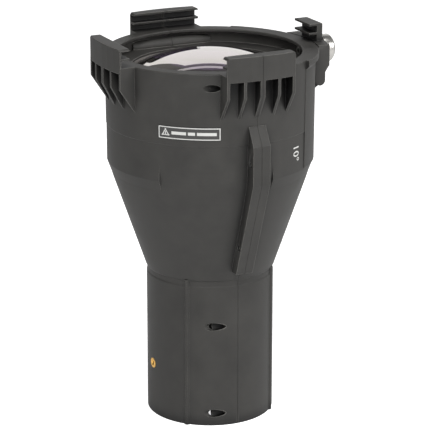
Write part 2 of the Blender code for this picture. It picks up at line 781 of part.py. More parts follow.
def focus_additions():
    return [
        combine(
            rod(
                "focus_boss",
                FOCUS_R + BOSS_WALL,
                -TUBE_R,
                -TUBE_R + FOCUS_DEPTH + 1 * MM,
                at=(0, FOCUS_Z),
                steps=24,
            ),
            [
                prism(
                    "focus_limit",
                    arc(TUBE_R - 1 * MM, 0, TURN * (1 - 1 / BARREL_STEPS), BARREL_STEPS),
                    FOCUS_Z - 30 * MM,
                    FOCUS_Z + 30 * MM,
                )
            ],
            "INTERSECT",
        )
    ]


def focus_insert():
    deep = FOCUS_DEPTH
    profile = [
        (FOCUS_R - 0.5 * MM, deep),
        (FOCUS_R, deep - 0.5 * MM),
        (FOCUS_R, 0),
        (FOCUS_BORE_R, 0),
        (FOCUS_BORE_R, deep - 1.4 * MM),
        (FOCUS_BORE_R + 1.4 * MM, deep),
    ]
    outer_x = -(TUBE_R + FOCUS_PROUD)
    lie = Matrix.Translation((outer_x + deep, 0, FOCUS_Z)) @ Matrix.Rotation(-TURN / 4, 4, "Y")
    return turned("focus_insert", profile, 24, BRASS, lie)


def warning_label():
    """Thin film wrapped on the bell, to the left of the front seam."""
    gap = 0.35 * MM
    radius = RIM_R + gap
    outline = [
        (radius + LABEL_T, LABEL_Z[1]),
        (radius + LABEL_T, LABEL_Z[0]),
        (radius, LABEL_Z[0]),
        (radius, LABEL_Z[1]),
    ]
    start, end = -LABEL_ANGLES[1], -LABEL_ANGLES[0]
    label = sector("label_blank", outline, start, end)
    mesh = label.data
    bpy.data.objects.remove(label)
    # The bell tapers a little towards the step, and the film follows it.
    taper = (RIM_R - STEP_R - STEP_RISE) / (RIM_Z - STEP_Z)
    for vertex in mesh.vertices:
        radial = math.hypot(vertex.co.x, vertex.co.y)
        shrink = (radial - taper * (RIM_Z - vertex.co.z)) / radial
        vertex.co.x *= shrink
        vertex.co.y *= shrink
    return add_object("warning_label", mesh, FILM)


# ---------------------------------------------------------------- assembly

front_screw_faces = ((-1, "front"), (1, "back"))

seam_pieces = {"left": [], "right": []}
for side in seam_pieces:
    for tag_degrees, tag in ((0, "front"), (180, "back")):
        seam_pieces[side] += holder(f"{side}_{tag}_holder", tag_degrees)
        seam_pieces[side].append(seam_rib(f"{side}_{tag}_rib", tag_degrees))
    for face, tag in front_screw_faces:
        seam_pieces[side] += screw_bosses(face, f"{side}_{tag}")

left_additions = (
    seam_pieces["left"]
    + holder("left_holder", -90)
    + [panel("left_panel", LEFT_PANEL, -1)]
    + [ridge("ridge_left_front", -RIDGE_ANGLE), ridge("ridge_left_back", -(math.pi - RIDGE_ANGLE))]
    + focus_additions()
)
focus_end_x = -TUBE_R + FOCUS_DEPTH + 5 * MM
left_cuts = [rod("focus_hole", FOCUS_R + FIT, -120 * MM, focus_end_x, at=(0, FOCUS_Z), steps=24)]
for face, tag in front_screw_faces:
    left_cuts += screw_holes(face, f"left_{tag}", True)
shell("left_shell", -1, left_additions, left_cuts)

right_additions = (
    seam_pieces["right"]
    + [panel("right_panel", RIGHT_PANEL, 1)]
    + [ridge("ridge_right_front", RIDGE_ANGLE), ridge("ridge_right_back", math.pi - RIDGE_ANGLE)]
    + gate_side_additions()
)
right_cuts = gate_side_cuts()
for face, tag in front_screw_faces:
    right_cuts += screw_holes(face, f"right_{tag}", False)
shell("right_shell", 1, right_additions, right_cuts)

front_lens()
lens_ring()
gate()
pivot_pin("gate_pin_front", -1)
pivot_pin("gate_pin_back", 1)
thumb_screw()
focus_insert()
warning_label()
for face, tag in front_screw_faces:
    for key in SCREWS:
        seam_screw(key, face, tag)
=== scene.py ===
"""Ten-degree lens tube of a profile spotlight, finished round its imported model."""

import math

import bmesh
import bpy
from mathutils import Matrix, Vector


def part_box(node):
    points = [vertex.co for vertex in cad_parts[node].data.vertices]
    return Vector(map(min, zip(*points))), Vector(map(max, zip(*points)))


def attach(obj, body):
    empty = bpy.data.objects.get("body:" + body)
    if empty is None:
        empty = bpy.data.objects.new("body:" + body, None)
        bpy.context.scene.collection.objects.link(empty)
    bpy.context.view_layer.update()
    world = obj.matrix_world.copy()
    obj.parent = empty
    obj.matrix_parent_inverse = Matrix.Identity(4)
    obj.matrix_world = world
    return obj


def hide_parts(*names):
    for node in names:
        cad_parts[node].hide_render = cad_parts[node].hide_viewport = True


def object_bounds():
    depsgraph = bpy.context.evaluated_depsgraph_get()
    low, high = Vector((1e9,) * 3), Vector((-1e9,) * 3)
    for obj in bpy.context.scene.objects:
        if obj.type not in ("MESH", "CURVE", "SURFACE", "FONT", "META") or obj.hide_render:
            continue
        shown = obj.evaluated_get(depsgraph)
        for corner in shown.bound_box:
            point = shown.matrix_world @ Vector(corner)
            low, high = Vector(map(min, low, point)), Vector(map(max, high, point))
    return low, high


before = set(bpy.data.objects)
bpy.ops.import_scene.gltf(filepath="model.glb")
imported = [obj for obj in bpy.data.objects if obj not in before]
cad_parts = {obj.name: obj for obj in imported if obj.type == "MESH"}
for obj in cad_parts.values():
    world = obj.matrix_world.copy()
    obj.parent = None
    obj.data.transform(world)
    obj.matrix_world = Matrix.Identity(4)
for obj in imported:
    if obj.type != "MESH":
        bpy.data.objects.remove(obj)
cad_box = [list(map(float, corner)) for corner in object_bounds()]
MM = 0.001
TURN = 2 * math.pi

# ---------------------------------------------------------------- view, floor and light
# The tube stands on a pale seamless floor, seen from above its front left. Three soft boxes hang
# in front, overhead and to the right. A white backdrop with one batten of lamps above it stands
# beyond the tube, under a dim ceiling: the lens reflects them.

KNOB_OVERHANG = 13.05 * MM  # the tube's axis is this far left of the middle of its box
tube_axis = Vector((0.5 * (cad_box[0][0] + cad_box[1][0]) - KNOB_OVERHANG, 0, 0))
CAMERA_AZIMUTH = math.radians(-25.8)
CAMERA_PITCH = math.radians(17.49)
CAMERA_DISTANCE = 3.0209
CAMERA_HEIGHT = 1.232

camera_data = bpy.data.cameras.new("camera")
camera_data.sensor_width = 36
camera_data.lens = 190.26
camera_data.shift_x = 0.0119
camera_data.clip_end = 100
camera = bpy.data.objects.new("camera", camera_data)
bpy.context.collection.objects.link(camera)
camera.location = tube_axis + Vector(
    (
        CAMERA_DISTANCE * math.sin(CAMERA_AZIMUTH),
        -CAMERA_DISTANCE * math.cos(CAMERA_AZIMUTH),
        CAMERA_HEIGHT,
    )
)
camera.rotation_euler = (TURN / 4 - CAMERA_PITCH, 0, CAMERA_AZIMUTH)
bpy.context.scene.camera = camera
bpy.context.scene.view_settings.view_transform = "Standard"


def linear(code):
    """An sRGB hex colour as linear red, green, blue and alpha."""
    shares = [int(code[i : i + 2], 16) / 255 for i in (1, 3, 5)]
    return (*[s / 12.92 if s <= 0.04045 else ((s + 0.055) / 1.055) ** 2.4 for s in shares], 1)


def blank(name):
    """A new material, its node tree and its shader."""
    material = bpy.data.materials.new(name)
    material.use_nodes = True
    return material, material.node_tree, material.node_tree.nodes["Principled BSDF"]


def add(tree, kind, inputs=None, **settings):
    """One node; an input, by name or number, is fed by a socket or holds a value."""
    node = tree.nodes.new(kind)
    for key, value in settings.items():
        if hasattr(node, key):
            setattr(node, key, value)
        else:
            node.inputs[key.replace("_", " ")].default_value = value
    for key, value in (inputs or {}).items():
        if isinstance(value, bpy.types.NodeSocket):
            tree.links.new(value, node.inputs[key])
        else:
            node.inputs[key].default_value = value
    return node


# White paper sweep: matt and a little lit from within, so that it burns out to white as a studio
# sweep does, with less of it thrown back on the tube than the eye sees.
PAPER_SEEN = 0.95
PAPER_BOUNCED = 0.9
GLOW_SEEN = 0.6
GLOW_BOUNCED = 0.2

paper, tree, shader = blank("white_paper_sweep")
sight = add(tree, "ShaderNodeLightPath")
bounce = add(
    tree,
    "ShaderNodeMix",
    {
        "Factor": sight.outputs["Is Camera Ray"],
        6: (PAPER_BOUNCED, PAPER_BOUNCED, PAPER_BOUNCED, 1),
        7: (PAPER_SEEN, PAPER_SEEN, PAPER_SEEN, 1),
    },
    data_type="RGBA",
)
glow = add(
    tree,
    "ShaderNodeMath",
    {0: sight.outputs["Is Camera Ray"], 1: GLOW_SEEN, 2: GLOW_BOUNCED},
    operation="MULTIPLY_ADD",
)
tree.links.new(bounce.outputs[2], shader.inputs["Base Color"])
tree.links.new(glow.outputs[0], shader.inputs["Emission Strength"])
shader.inputs["Emission Color"].default_value = (1, 1, 1, 1)
shader.inputs["Roughness"].default_value = 0.9

FLOOR_HALF = 30
floor_mesh = bpy.data.meshes.new("floor")
bm = bmesh.new()
bmesh.ops.create_grid(bm, x_segments=1, y_segments=1, size=FLOOR_HALF)
bm.to_mesh(floor_mesh)
bm.free()
floor_mesh.materials.append(paper)
floor = bpy.data.objects.new("floor", floor_mesh)
bpy.context.collection.objects.link(floor)

# The room, worked out on the direction of sight. Its edges are heights on the unit sphere, and the
# backdrop slopes down past its left end to the low side flats, which rise again behind the camera.
BACKDROP_TOP = math.tan(math.radians(40))
BACKDROP_LEFT = 0.19
BACKDROP_SLOPE = 5.0
BACKDROP_LIGHT = 1.0
SIDE_FLATS_TOP = 0.06
SIDE_FLATS_RISE = 0.6
CEILING_LIGHT = 0.15
CEILING_BLEND = 0.02
BATTEN_AT = math.tan(math.radians(45.5))
BATTEN_HALF = 0.035
BATTEN_LIGHT = 0.6
AMBIENT_LIGHT = 0.16

world = bpy.data.worlds.new("studio")
bpy.context.scene.world = world
world.use_nodes = True
tree = world.node_tree
sky = add(tree, "ShaderNodeTexCoord")
sky_apart = add(tree, "ShaderNodeSeparateXYZ", {0: sky.outputs["Generated"]})
away = add(
    tree,
    "ShaderNodeVectorMath",
    {0: sky.outputs["Generated"], 1: (-math.sin(CAMERA_AZIMUTH), math.cos(CAMERA_AZIMUTH), 0)},
    operation="DOT_PRODUCT",
)
leftward = add(
    tree,
    "ShaderNodeVectorMath",
    {0: sky.outputs["Generated"], 1: (-math.cos(CAMERA_AZIMUTH), -math.sin(CAMERA_AZIMUTH), 0)},
    operation="DOT_PRODUCT",
)
level_top = add(
    tree, "ShaderNodeMath", {0: away.outputs["Value"], 1: BACKDROP_TOP}, operation="MULTIPLY"
)
left_end = add(
    tree, "ShaderNodeMath", {0: away.outputs["Value"], 1: BACKDROP_LEFT}, operation="MULTIPLY"
)
past_left = add(
    tree,
    "ShaderNodeMath",
    {0: leftward.outputs["Value"], 1: left_end.outputs[0]},
    operation="SUBTRACT",
)
beyond_end = add(tree, "ShaderNodeMath", {0: past_left.outputs[0], 1: 0.0}, operation="MAXIMUM")
slope = add(
    tree, "ShaderNodeMath", {0: beyond_end.outputs[0], 1: BACKDROP_SLOPE}, operation="MULTIPLY"
)
sloped_top = add(
    tree, "ShaderNodeMath", {0: level_top.outputs[0], 1: slope.outputs[0]}, operation="SUBTRACT"
)
back = add(
    tree, "ShaderNodeMath", {0: away.outputs["Value"], 1: -SIDE_FLATS_RISE}, operation="MULTIPLY"
)
behind = add(tree, "ShaderNodeMath", {0: back.outputs[0], 1: 0.0}, operation="MAXIMUM")
flats_top = add(
    tree, "ShaderNodeMath", {0: behind.outputs[0], 1: SIDE_FLATS_TOP}, operation="ADD"
)
edge = add(
    tree,
    "ShaderNodeMath",
    {0: sloped_top.outputs[0], 1: flats_top.outputs[0]},
    operation="MAXIMUM",
)
over_edge = add(
    tree, "ShaderNodeMath", {0: sky_apart.outputs["Z"], 1: edge.outputs[0]}, operation="SUBTRACT"
)
above_backdrop = add(
    tree,
    "ShaderNodeMapRange",
    {"Value": over_edge.outputs[0]},
    From_Min=0.0,
    From_Max=CEILING_BLEND,
    To_Min=BACKDROP_LIGHT,
    To_Max=CEILING_LIGHT,
)
batten_line = add(
    tree, "ShaderNodeMath", {0: away.outputs["Value"], 1: BATTEN_AT}, operation="MULTIPLY"
)
in_batten = add(
    tree,
    "ShaderNodeMath",
    {0: sky_apart.outputs["Z"], 1: batten_line.outputs[0], 2: BATTEN_HALF},
    operation="COMPARE",
)
batten = add(
    tree, "ShaderNodeMath", {0: in_batten.outputs[0], 1: BATTEN_LIGHT}, operation="MULTIPLY"
)
lit_room = add(
    tree,
    "ShaderNodeMath",
    {0: above_backdrop.outputs["Result"], 1: batten.outputs[0]},
    operation="ADD",
)
ray = add(tree, "ShaderNodeLightPath")
room = add(
    tree,
    "ShaderNodeMix",
    {"Factor": ray.outputs["Is Diffuse Ray"], 2: lit_room.outputs[0], 3: AMBIENT_LIGHT},
    data_type="FLOAT",
)
tree.nodes["Background"].inputs["Color"].default_value = (1, 1, 1, 1)
tree.links.new(room.outputs[0], tree.nodes["Background"].inputs["Strength"])
world.cycles.sampling_method = "NONE"

SOFT_BOX_TARGET = Vector((0, 0, 0.3))


def soft_box(name, place, side, power):
    """A square soft box, turned towards the middle of the tube."""
    lamp = bpy.data.lights.new(name, "AREA")
    lamp.shape = "RECTANGLE"
    lamp.size = lamp.size_y = side
    lamp.energy = power
    lamp_object = bpy.data.objects.new(name, lamp)
    bpy.context.collection.objects.link(lamp_object)
    lamp_object.location = place
    aim = SOFT_BOX_TARGET - Vector(place)
    lamp_object.rotation_euler = aim.to_track_quat("-Z", "Y").to_euler()


soft_box("front_soft_box", (-1.5, -2.3, 3.1), 1.6, 104)
soft_box("top_soft_box", (0.5, -0.9, 3.6), 1.2, 30)
soft_box("right_soft_box", (2.2, -2.4, 1.9), 1.4, 50)

# ---------------------------------------------------------------- cast shells
# Two die-cast aluminium half shells, screwed together along the front and back seams and powder
# coated in a fine black texture. The turned walls are shaded as true cones and cylinders.

HOLDER_HALF = 50 * MM
HOLDER_CORNER = 3 * MM
FACET_SPREAD = math.radians(2.75)
TURNED_LEAN = 0.25  # a face whose normal is nearer upright than this is a flat, not a turned wall
NEAR = 0.1 * MM
WELD = 0.02 * MM
SLIVER = 0.01 * MM


def holder_corners(bm):
    """The short edges across the top corners of the frame holders, at both ends of each."""
    found = []
    for edge in bm.edges:
        ends = [vert.co - tube_axis for vert in edge.verts]
        if min(end.z for end in ends) < cad_box[1][2] - NEAR:
            continue
        for side in (0, 1):
            if all(abs(abs(end[side]) - HOLDER_HALF) < NEAR for end in ends):
                if abs(ends[0][side] - ends[1][side]) < NEAR:
                    found.append(edge)
    return found


def smooth_copy(node, sharp=9, turned=False, corner=0.0):
    """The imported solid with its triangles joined, crisp edges kept and round walls smooth."""
    mesh = bpy.data.meshes.new(node)
    bm = bmesh.new()
    bm.from_mesh(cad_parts[node].data)
    bmesh.ops.remove_doubles(bm, verts=bm.verts, dist=WELD)
    bmesh.ops.dissolve_degenerate(bm, edges=bm.edges, dist=SLIVER)
    if corner:
        bmesh.ops.bevel(
            bm, geom=holder_corners(bm), offset=corner, segments=4, profile=0.5, affect="EDGES"
        )
    bm.to_mesh(mesh)
    bm.free()
    mesh.shade_smooth()
    mesh.set_sharp_from_angle(angle=math.radians(sharp))
    if turned:
        shade_as_turned(mesh)
    return mesh


def shade_as_turned(mesh):
    """Gives each facet of a turned wall the normals of the true cone that it stands for."""
    normals = [corner.vector.copy() for corner in mesh.corner_normals]
    for polygon in mesh.polygons:
        face = polygon.normal
        across = math.hypot(face.x, face.y)
        if across < TURNED_LEAN:
            continue
        heading = math.atan2(face.y, face.x)
        spokes = []
        for index in polygon.vertices:
            spoke = mesh.vertices[index].co - tube_axis
            angle = math.atan2(spoke.y, spoke.x)
            for outward in (angle, angle + math.pi):
                off = (outward - heading + math.pi) % TURN - math.pi
                if abs(off) < FACET_SPREAD:
                    spokes.append(outward)
        if len(spokes) < len(polygon.vertices):
            continue
        for corner, outward in zip(polygon.loop_indices, spokes):
            normals[corner] = Vector(
                (across * math.cos(outward), across * math.sin(outward), face.z)
            )
    mesh.normals_split_custom_set(normals)


def fit(name, mesh, body, slot, material, *nodes):
    """Places a finished piece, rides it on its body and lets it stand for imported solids."""
    mesh.materials.clear()
    mesh.materials.append(material)
    piece = bpy.data.objects.new(name, mesh)
    bpy.context.collection.objects.link(piece)
    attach(piece, body)
    if nodes:
        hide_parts(*nodes)


# Fine-texture black powder coat: sprayed and baked, so its grain is tiny pimples, dry and matt,
# with a little polish worn in on corners, whose colour is also lightened as a painted highlight.
# The real pimples are about 0.3 mm wide, too fine to show, so they are drawn at 0.9 mm. Deep
# hollows, which soft light can't leave black by itself, are darkened with painted shade, apart from
# the seam and the open inside of the bell.
COAT = "#2b2a28"
# Pale tone of the coat: used for random mottle, and on corners partly for worn coat and partly as a
# painted highlight.
COAT_WEAR_AND_HIGHLIGHT = "#8a8883"
GRAIN = 0.9 * MM
MOTTLE = 38 * MM
EDGE_BEVEL_R = 1.5 * MM
SEAM_HALF = 2.2 * MM
HOLLOW_REACH = 24 * MM
BELL_INSIDE_R = 141 * MM
BELL_INSIDE_Z = 470 * MM
BELL_SCREW_CLEAR = 105 * MM

powder_coat, tree, shader = blank("fine_texture_powder_coat")
place = add(tree, "ShaderNodeTexCoord")
coat_apart = add(tree, "ShaderNodeSeparateXYZ", {0: place.outputs["Object"]})
grain = add(
    tree,
    "ShaderNodeTexNoise",
    {"Vector": place.outputs["Object"]},
    Scale=1 / GRAIN,
    Detail=2.0,
    Roughness=0.6,
)
mottle = add(
    tree,
    "ShaderNodeTexNoise",
    {"Vector": place.outputs["Object"]},
    Scale=1 / MOTTLE,
    Detail=4.0,
    Roughness=0.55,
)
corner = add(tree, "ShaderNodeBevel", samples=6, Radius=EDGE_BEVEL_R)
surface = add(tree, "ShaderNodeNewGeometry")
turn_in = add(
    tree,
    "ShaderNodeVectorMath",
    {0: corner.outputs["Normal"], 1: surface.outputs["Normal"]},
    operation="DOT_PRODUCT",
)
# Painted highlight, partly worn coat: where the bevelled normal turns from the true one, corners
# are lightened towards the pale tone.
corner_rub_and_highlight = add(
    tree,
    "ShaderNodeMapRange",
    {"Value": turn_in.outputs["Value"]},
    From_Min=0.93,
    From_Max=0.75,
    To_Min=0.0,
    To_Max=0.8,
)
at_seam = add(
    tree,
    "ShaderNodeMath",
    {0: coat_apart.outputs["X"], 1: tube_axis.x, 2: SEAM_HALF},
    operation="COMPARE",
)
off_seam = add(tree, "ShaderNodeMath", {0: 1.0, 1: at_seam.outputs[0]}, operation="SUBTRACT")
edge_rub_and_highlight = add(
    tree,
    "ShaderNodeMath",
    {0: corner_rub_and_highlight.outputs["Result"], 1: off_seam.outputs[0]},
    operation="MULTIPLY",
)
patchy = add(
    tree,
    "ShaderNodeMapRange",
    {"Value": mottle.outputs["Fac"]},
    From_Min=0.3,
    From_Max=0.75,
    To_Min=0.0,
    To_Max=0.07,
)
wear_and_edge_highlight = add(
    tree,
    "ShaderNodeMath",
    {0: edge_rub_and_highlight.outputs[0], 1: patchy.outputs["Result"]},
    operation="ADD",
    use_clamp=True,
)
colour = add(
    tree,
    "ShaderNodeMix",
    {"Factor": wear_and_edge_highlight.outputs["Value"], 6: linear(COAT), 7: linear(COAT_WEAR_AND_HIGHLIGHT)},
    data_type="RGBA",
)
dryness = add(
    tree,
    "ShaderNodeMapRange",
    {"Value": mottle.outputs["Fac"]},
    From_Min=0.3,
    From_Max=0.7,
    To_Min=0.5,
    To_Max=0.62,
)
pimples = add(
    tree,
    "ShaderNodeBump",
    {"Height": grain.outputs["Fac"], "Normal": corner.outputs["Normal"]},
    Strength=0.35,
    Distance=0.06 * MM,
)
# Painted shade: ambient occlusion mixes the base colour towards black in deep hollows, except at
# the seam and inside the bell.
hollow = add(tree, "ShaderNodeAmbientOcclusion", samples=8, Distance=HOLLOW_REACH)
openness = add(
    tree,
    "ShaderNodeMapRange",
    {"Value": hollow.outputs["AO"]},
    From_Min=0.46,
    From_Max=0.92,
    To_Min=0.03,
    To_Max=1.0,
)
centred = add(
    tree,
    "ShaderNodeVectorMath",
    {0: place.outputs["Object"], 1: tube_axis},
    operation="SUBTRACT",
)
level = add(
    tree, "ShaderNodeVectorMath", {0: centred.outputs["Vector"], 1: (1, 1, 0)}, operation="MULTIPLY"
)
radius = add(tree, "ShaderNodeVectorMath", {0: level.outputs["Vector"]}, operation="LENGTH")
within = add(
    tree, "ShaderNodeMath", {0: radius.outputs["Value"], 1: BELL_INSIDE_R}, operation="LESS_THAN"
)
above = add(
    tree, "ShaderNodeMath", {0: coat_apart.outputs["Z"], 1: BELL_INSIDE_Z}, operation="GREATER_THAN"
)
behind_screw = add(
    tree,
    "ShaderNodeMath",
    {0: coat_apart.outputs["Y"], 1: -BELL_SCREW_CLEAR},
    operation="GREATER_THAN",
)
within_above = add(
    tree, "ShaderNodeMath", {0: within.outputs[0], 1: above.outputs[0]}, operation="MULTIPLY"
)
bell_inside = add(
    tree,
    "ShaderNodeMath",
    {0: within_above.outputs[0], 1: behind_screw.outputs[0]},
    operation="MULTIPLY",
)
even = add(
    tree, "ShaderNodeMath", {0: bell_inside.outputs[0], 1: at_seam.outputs[0]}, operation="MAXIMUM"
)
open_air = add(
    tree, "ShaderNodeMath", {0: openness.outputs["Result"], 1: even.outputs[0]}, operation="MAXIMUM"
)
shaded = add(
    tree,
    "ShaderNodeMix",
    {"Factor": open_air.outputs[0], 6: (0, 0, 0, 1), 7: colour.outputs[2]},
    data_type="RGBA",
)
tree.links.new(shaded.outputs[2], shader.inputs["Base Color"])
tree.links.new(dryness.outputs["Result"], shader.inputs["Roughness"])
tree.links.new(pimples.outputs["Normal"], shader.inputs["Normal"])
shader.inputs["Specular IOR Level"].default_value = 0.4

for side in ("left_shell", "right_shell"):
    mesh = smooth_copy(side, turned=True, corner=HOLDER_CORNER)
    fit(f"{side}_casting", mesh, "lens_tube", "powder_coat", powder_coat, side)

# ---------------------------------------------------------------- gate
# The die-cast gate closes the fourth side of the frame slots and swings out on two pins. It is
# powder coated like the shells.

gate_mesh = smooth_copy("latch_gate")
fit("gate_casting", gate_mesh, "gate", "powder_coat", powder_coat, "latch_gate")

# ---------------------------------------------------------------- lens
# One large plano-convex lens of ground and polished optical glass, domed towards the exit. It sits
# in its silicone ring in a groove that both shells share.

LENS_CURVE_R = 232 * MM
LENS_R = 111 * MM
DOME_RINGS = 40
LENS_STEPS = 144
SPIN_WELD = 0.005 * MM
lens_low, lens_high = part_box("front_lens")


def spun(profile, steps):
    """Spins (radius, height) points about the upright line through the origin."""
    bm = bmesh.new()
    points = [bm.verts.new((r, 0, z)) for r, z in profile]
    edges = [bm.edges.new(pair) for pair in zip(points, points[1:])]
    bmesh.ops.spin(
        bm,
        geom=points + edges,
        cent=(0, 0, 0),
        axis=(0, 0, 1),
        angle=TURN,
        steps=steps,
        use_merge=True,
    )
    bmesh.ops.remove_doubles(bm, verts=bm.verts, dist=SPIN_WELD)
    bmesh.ops.recalc_face_normals(bm, faces=bm.faces)
    return bm


def mesh_from(name, bm, sharp=35):
    """The bmesh made a mesh, smooth but for edges sharper than the given degrees."""
    mesh = bpy.data.meshes.new(name)
    bm.to_mesh(mesh)
    bm.free()
    mesh.shade_smooth()
    mesh.set_sharp_from_angle(angle=math.radians(sharp))
    return mesh


# Optical glass with a vacuum-laid antireflection coating: clear and dark where it faces the eye,
# with a violet reflection that turns to a pale cream one as the glass slants away.
glass, tree, shader = blank("coated_optical_glass")
slant = add(tree, "ShaderNodeLayerWeight", Blend=0.5)
sheen = add(tree, "ShaderNodeValToRGB", {"Fac": slant.outputs["Facing"]})
VIOLET, CREAM, LAVENDER = map(linear, ("#6b4d8a", "#f3ede6", "#b495b8"))
violet_end, cream_start = sheen.color_ramp.elements
violet_end.position, violet_end.color = 0.3, VIOLET
cream_start.position, cream_start.color = 0.56, CREAM
sheen.color_ramp.elements.new(0.93).color = CREAM
sheen.color_ramp.elements.new(0.985).color = LAVENDER
mirror = add(
    tree,
    "ShaderNodeMapRange",
    {"Value": slant.outputs["Facing"]},
    From_Min=0.0,
    From_Max=0.6,
    To_Min=0.15,
    To_Max=0.68,
)
tree.links.new(sheen.outputs["Color"], shader.inputs["Base Color"])
tree.links.new(mirror.outputs["Result"], shader.inputs["Metallic"])
shader.inputs["Roughness"].default_value = 0.01
shader.inputs["Transmission Weight"].default_value = 1.0
shader.inputs["IOR"].default_value = 1.52

dome_centre_z = lens_high[2] - LENS_CURVE_R
dome = []
for i in range(DOME_RINGS + 1):
    r = LENS_R * i / DOME_RINGS
    dome.append((r, dome_centre_z + math.sqrt(LENS_CURVE_R**2 - r**2)))
bm = spun(dome + [(LENS_R, lens_low[2]), (0, lens_low[2])], LENS_STEPS)
bmesh.ops.translate(bm, verts=bm.verts, vec=tube_axis)
lens_mesh = mesh_from("plano_convex_lens", bm)
fit("plano_convex_lens", lens_mesh, "lens_tube", "lens_glass", glass, "front_lens")

# ---------------------------------------------------------------- lens ring
# A moulded silicone ring grips the lens edge in its groove and takes up its growth with heat. Its
# grey is even, with the soft shine of rubber.

silicone, tree, shader = blank("moulded_silicone")
shader.inputs["Base Color"].default_value = linear("#7d7a76")
shader.inputs["Roughness"].default_value = 0.45
ring_mesh = smooth_copy("lens_gasket", turned=True)
fit("lens_ring", ring_mesh, "lens_tube", "silicone", silicone, "lens_gasket")

# ---------------------------------------------------------------- thumb knob
# A knob turned from aluminium bar on the end of the thumb screw, chamfered and relieved at its
# rims.

KNOB_CHAMFER = 3.2 * MM
KNOB_RELIEF = 1.2 * MM
KNOB_EDGE = 0.5 * MM
KNOB_STEPS = 96
KNOB_BRIDGE = 4 * MM
STUD_BORE_R = 3.3 * MM
TOOL_MARK = 0.5 * MM
knob_low, knob_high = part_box("thumb_knob")
knob_r = (knob_high[2] - knob_low[2]) / 2
knob_t = knob_high[0] - knob_low[0]
knob_axis_z = (knob_low[2] + knob_high[2]) / 2

# Lathe-turned aluminium: bright, with fine rings about its axis that spread each highlight into a
# band. Real tool marks are about 0.1 mm apart and are drawn at 0.5 mm, to show.
turned_metal, tree, shader = blank("lathe_turned_aluminium")
place = add(tree, "ShaderNodeTexCoord")
apart = add(tree, "ShaderNodeSeparateXYZ", {0: place.outputs["Object"]})
up = add(tree, "ShaderNodeMath", {0: apart.outputs["Z"], 1: knob_axis_z}, operation="SUBTRACT")
squared = add(
    tree, "ShaderNodeMath", {0: apart.outputs["Y"], 1: apart.outputs["Y"]}, operation="MULTIPLY"
)
both = add(
    tree,
    "ShaderNodeMath",
    {0: up.outputs["Value"], 1: up.outputs["Value"], 2: squared.outputs["Value"]},
    operation="MULTIPLY_ADD",
)
reach = add(tree, "ShaderNodeMath", {0: both.outputs["Value"]}, operation="SQRT")
ring_place = add(
    tree, "ShaderNodeCombineXYZ", {"X": reach.outputs["Value"], "Y": apart.outputs["X"]}
)
rings = add(
    tree,
    "ShaderNodeTexNoise",
    {"Vector": ring_place.outputs["Vector"]},
    Scale=1 / TOOL_MARK,
    Detail=2.0,
)
shine = add(
    tree, "ShaderNodeMapRange", {"Value": rings.outputs["Fac"]}, To_Min=0.22, To_Max=0.38
)
tool_marks = add(
    tree, "ShaderNodeBump", {"Height": rings.outputs["Fac"]}, Strength=0.25, Distance=0.03 * MM
)
tree.links.new(shine.outputs["Result"], shader.inputs["Roughness"])
tree.links.new(tool_marks.outputs["Normal"], shader.inputs["Normal"])
shader.inputs["Base Color"].default_value = linear("#bdbbb7")
shader.inputs["Metallic"].default_value = 1.0

knob_profile = [
    (0, knob_t),
    (knob_r - KNOB_CHAMFER, knob_t),
    (knob_r, knob_t - KNOB_CHAMFER),
    (knob_r, KNOB_RELIEF),
    (knob_r - KNOB_RELIEF, 0),
    (STUD_BORE_R, 0),
    (STUD_BORE_R, knob_t - KNOB_BRIDGE),
    (0, knob_t - KNOB_BRIDGE),
]
bm = spun(knob_profile, KNOB_STEPS)
rims = [edge for edge in bm.edges if edge.calc_face_angle(0) > math.radians(20)]
bmesh.ops.bevel(bm, geom=rims, offset=KNOB_EDGE, segments=3, profile=0.5, affect="EDGES")
lie_down = Matrix.Translation((knob_low[0], 0, knob_axis_z)) @ Matrix.Rotation(TURN / 4, 4, "Y")
bmesh.ops.transform(bm, matrix=lie_down, verts=bm.verts)
bmesh.ops.recalc_face_normals(bm, faces=bm.faces)
knob_mesh = mesh_from("turned_knob", bm, 20)
fit("turned_knob", knob_mesh, "thumb_screw", "turned_aluminium", turned_metal, "thumb_knob")

# ---------------------------------------------------------------- plated and black steel
# The zinc-plated stud has a washer under its knob and a clip that keeps it on the gate. The bush
# and the gate's pins are plated too. Black-oxide socket screws close the seams.

FASTENER_SHARP = 24
PLATING_CLOUD = 2 * MM
OIL_PATCH = 1.5 * MM

# Zinc-plated steel: a cool bright grey, clouded by the plating bath in patches about 2 mm wide.
plated, tree, shader = blank("zinc_plated_steel")
place = add(tree, "ShaderNodeTexCoord")
bloom = add(
    tree,
    "ShaderNodeTexNoise",
    {"Vector": place.outputs["Object"]},
    Scale=1 / PLATING_CLOUD,
    Detail=3.0,
)
bloom_shine = add(
    tree, "ShaderNodeMapRange", {"Value": bloom.outputs["Fac"]}, To_Min=0.2, To_Max=0.42
)
tree.links.new(bloom_shine.outputs["Result"], shader.inputs["Roughness"])
shader.inputs["Base Color"].default_value = linear("#c4c4c2")
shader.inputs["Metallic"].default_value = 1.0

# Black-oxide steel: a dark warm grey with an oily shine, patchy at about 1.5 mm.
black_oxide, tree, shader = blank("black_oxide_steel")
place = add(tree, "ShaderNodeTexCoord")
oil = add(
    tree,
    "ShaderNodeTexNoise",
    {"Vector": place.outputs["Object"]},
    Scale=1 / OIL_PATCH,
    Detail=2.0,
)
oil_shine = add(
    tree, "ShaderNodeMapRange", {"Value": oil.outputs["Fac"]}, To_Min=0.3, To_Max=0.5
)
tree.links.new(oil_shine.outputs["Result"], shader.inputs["Roughness"])
shader.inputs["Base Color"].default_value = linear("#5c5a56")
shader.inputs["Metallic"].default_value = 1.0

